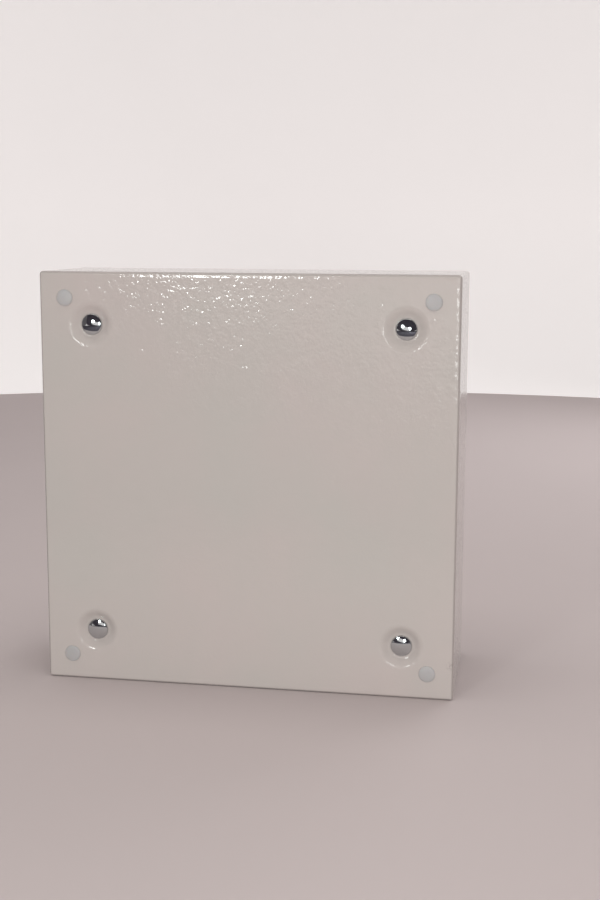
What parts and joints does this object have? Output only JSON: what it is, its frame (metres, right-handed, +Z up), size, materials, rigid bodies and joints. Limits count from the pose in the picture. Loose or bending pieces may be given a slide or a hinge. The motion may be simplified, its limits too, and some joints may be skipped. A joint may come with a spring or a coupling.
{
  "type": "dc combiner box",
  "caption": "Wall-mounting sheet-steel enclosure with a hinged locking door over rail-mounted fuses, surge protector and switch, held at the back by domed bolts in dished recesses.",
  "frame": {"origin": "bottom centre of the whole box", "axes": "+Z up, +Y out of the rear panel, door facing -Y, +X to the right seen from the door"},
  "size_m": [0.4, 0.1536, 0.4],
  "materials": {
    "case_paint": "semi-gloss textured powder coat, pebble grey",
    "door_paint": "semi-gloss textured powder coat, pebble grey",
    "chrome": "bright plated",
    "plug_plastic": "smooth moulded, slightly translucent",
    "zinc": "zinc plated",
    "galvanised_steel": "galvanised sheet",
    "foam": "closed-cell foam",
    "entry_rubber": "moulded, matt",
    "copper": "bare copper, drawn",
    "brass": "bare brass",
    "housing_plastic": "moulded, fine spark texture",
    "carrier_plastic": "moulded, fine spark texture",
    "cartridge_plastic": "moulded, fine spark texture",
    "ceramic": "glazed tube with plated end caps",
    "handle_plastic": "moulded",
    "wire_red": "extruded sheath",
    "wire_black": "extruded sheath",
    "wire_green": "extruded sheath"
  },
  "bodies": {
    "case": {"case": "case_paint", "mounting_bolt_1": "chrome", "mounting_bolt_2": "chrome", "mounting_bolt_3": "chrome", "mounting_bolt_4": "chrome", "spacer_1": "zinc", "spacer_2": "zinc", "spacer_3": "zinc", "spacer_4": "zinc", "plate_nut_1": "zinc", "plate_nut_2": "zinc", "plate_nut_3": "zinc", "plate_nut_4": "zinc", "wall_plug_1": "plug_plastic", "wall_plug_2": "plug_plastic", "wall_plug_3": "plug_plastic", "wall_plug_4": "plug_plastic", "mounting_plate": "galvanised_steel", "entry_plate": "entry_rubber", "entry_gasket": "foam", "hinge_bracket_lower": "zinc", "hinge_pin_lower": "zinc", "hinge_bracket_upper": "zinc", "hinge_pin_upper": "zinc", "din_rail_upper": "galvanised_steel", "din_rail_lower": "galvanised_steel", "fuse_holder_1": "housing_plastic", "fuse_holder_2": "housing_plastic", "fuse_holder_3": "housing_plastic", "fuse_holder_4": "housing_plastic", "busbar_positive": "copper", "busbar_negative": "copper", "surge_base": "housing_plastic", "switch_body": "housing_plastic", "earth_bar": "brass", "wire_positive": "wire_red", "wire_surge_positive": "wire_red", "wire_negative": "wire_black", "wire_surge_negative": "wire_black", "wire_earth": "wire_green"},
    "door": {"door": "door_paint", "door_gasket": "foam", "door_leaf_lower": "zinc", "door_leaf_upper": "zinc", "lock_barrel": "zinc", "lock_nut": "zinc"},
    "lock": {"lock_rotor": "zinc", "lock_cam": "zinc"},
    "carrier_1": {"fuse_carrier_1": "carrier_plastic", "fuse_1": "ceramic"},
    "carrier_2": {"fuse_carrier_2": "carrier_plastic", "fuse_2": "ceramic"},
    "carrier_3": {"fuse_carrier_3": "carrier_plastic", "fuse_3": "ceramic"},
    "carrier_4": {"fuse_carrier_4": "carrier_plastic", "fuse_4": "ceramic"},
    "cartridge_1": {"surge_cartridge_1": "cartridge_plastic"},
    "cartridge_2": {"surge_cartridge_2": "cartridge_plastic"},
    "cartridge_3": {"surge_cartridge_3": "cartridge_plastic"},
    "handle": {"switch_handle": "handle_plastic"}
  },
  "joints": [
    {"name": "door_hinge", "type": "hinge", "parent": "case", "child": "door", "pos_m": [-0.1935, -0.0665, 0.2], "axis": [0, 0, -1], "range_deg": [0, 115]},
    {"name": "lock_turn", "type": "hinge", "parent": "door", "child": "lock", "pos_m": [0.162, -0.075, 0.2], "axis": [0, -1, 0], "range_deg": [0, 90]},
    {"name": "carrier_1_swing", "type": "hinge", "parent": "case", "child": "carrier_1", "pos_m": [-0.095, 0.0025, 0.105], "axis": [1, 0, 0], "range_deg": [0, 90]},
    {"name": "carrier_2_swing", "type": "hinge", "parent": "case", "child": "carrier_2", "pos_m": [-0.077, 0.0025, 0.105], "axis": [1, 0, 0], "range_deg": [0, 90]},
    {"name": "carrier_3_swing", "type": "hinge", "parent": "case", "child": "carrier_3", "pos_m": [-0.045, 0.0025, 0.105], "axis": [1, 0, 0], "range_deg": [0, 90]},
    {"name": "carrier_4_swing", "type": "hinge", "parent": "case", "child": "carrier_4", "pos_m": [-0.027, 0.0025, 0.105], "axis": [1, 0, 0], "range_deg": [0, 90]},
    {"name": "cartridge_1_pull", "type": "slide", "parent": "case", "child": "cartridge_1", "axis": [0, -1, 0], "range_m": [0, 0.045]},
    {"name": "cartridge_2_pull", "type": "slide", "parent": "case", "child": "cartridge_2", "axis": [0, -1, 0], "range_m": [0, 0.045]},
    {"name": "cartridge_3_pull", "type": "slide", "parent": "case", "child": "cartridge_3", "axis": [0, -1, 0], "range_m": [0, 0.045]},
    {"name": "switch_turn", "type": "hinge", "parent": "case", "child": "handle", "pos_m": [-0.061, -0.0135, 0.275], "axis": [0, -1, 0], "range_deg": [0, 90]}
  ]
}
